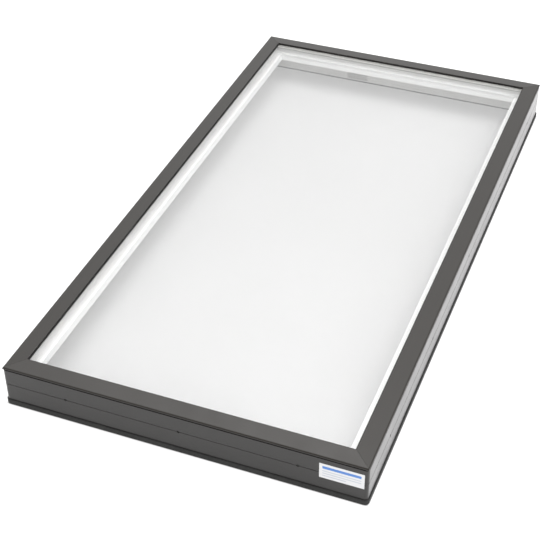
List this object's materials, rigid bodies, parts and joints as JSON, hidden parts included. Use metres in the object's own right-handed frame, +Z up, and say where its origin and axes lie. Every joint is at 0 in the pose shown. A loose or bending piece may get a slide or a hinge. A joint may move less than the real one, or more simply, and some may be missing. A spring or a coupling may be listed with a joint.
{
  "type": "curb-mounted roof skylight",
  "caption": "Fixed rectangular roof skylight: dark mitred metal cap over sealed double glazing, a white inner frame, and a metal skirt with fixing holes that laps over a roof curb.",
  "frame": {"origin": "centre of the plan on the plane that the edge trim stands on", "axes": "+Z up out of the roof, towards the cap; +Y along the length, up the roof slope, so the sill side with the label faces -Y; +X across"},
  "size_m": [0.6612, 1.2708, 0.086],
  "materials": {
    "cap_metal": "satin dark bronze powder coat",
    "skirt_metal": "satin dark bronze powder coat, light back coat inside",
    "key_metal": "mill finish",
    "plate_metal": "mill finish",
    "seal_rubber": "matte extruded rubber",
    "block_rubber": "matte",
    "tape": "matte closed-cell foam tape",
    "curb_foam": "matte closed-cell foam",
    "edge_sealant": "matte",
    "spacer_foam": "matte light grey structural foam",
    "frame_plastic": "semi-gloss white extruded vinyl",
    "glass": "clear polished float glass",
    "label_film": "smooth white vinyl film"
  },
  "bodies": {
    "root": {"cap_front": "cap_metal", "cap_right": "cap_metal", "cap_back": "cap_metal", "cap_left": "cap_metal", "cap_key_front_right": "key_metal", "cap_key_back_right": "key_metal", "cap_key_back_left": "key_metal", "cap_key_front_left": "key_metal", "cap_seal_front": "seal_rubber", "cap_seal_right": "seal_rubber", "cap_seal_back": "seal_rubber", "cap_seal_left": "seal_rubber", "glazing_gasket_front": "seal_rubber", "glazing_gasket_right": "seal_rubber", "glazing_gasket_back": "seal_rubber", "glazing_gasket_left": "seal_rubber", "screw_seal_front": "seal_rubber", "screw_seal_right": "seal_rubber", "screw_seal_back": "seal_rubber", "screw_seal_left": "seal_rubber", "edge_trim": "seal_rubber", "outer_pane": "glass", "inner_pane": "glass", "spacer_frame": "spacer_foam", "edge_sealant": "edge_sealant", "setting_block_front_1": "block_rubber", "setting_block_front_2": "block_rubber", "setting_block_right_1": "block_rubber", "setting_block_right_2": "block_rubber", "setting_block_back_1": "block_rubber", "setting_block_back_2": "block_rubber", "setting_block_left_1": "block_rubber", "setting_block_left_2": "block_rubber", "glazing_tape_front": "tape", "glazing_tape_right": "tape", "glazing_tape_back": "tape", "glazing_tape_left": "tape", "inner_frame_front": "frame_plastic", "inner_frame_right": "frame_plastic", "inner_frame_back": "frame_plastic", "inner_frame_left": "frame_plastic", "curb_liner_front": "frame_plastic", "curb_liner_right": "frame_plastic", "curb_liner_back": "frame_plastic", "curb_liner_left": "frame_plastic", "curb_gasket_front": "curb_foam", "curb_gasket_right": "curb_foam", "curb_gasket_back": "curb_foam", "curb_gasket_left": "curb_foam", "skirt_band": "skirt_metal", "splice_plate": "plate_metal", "seam_rivets": "plate_metal", "label": "label_film"}
  },
  "joints": []
}
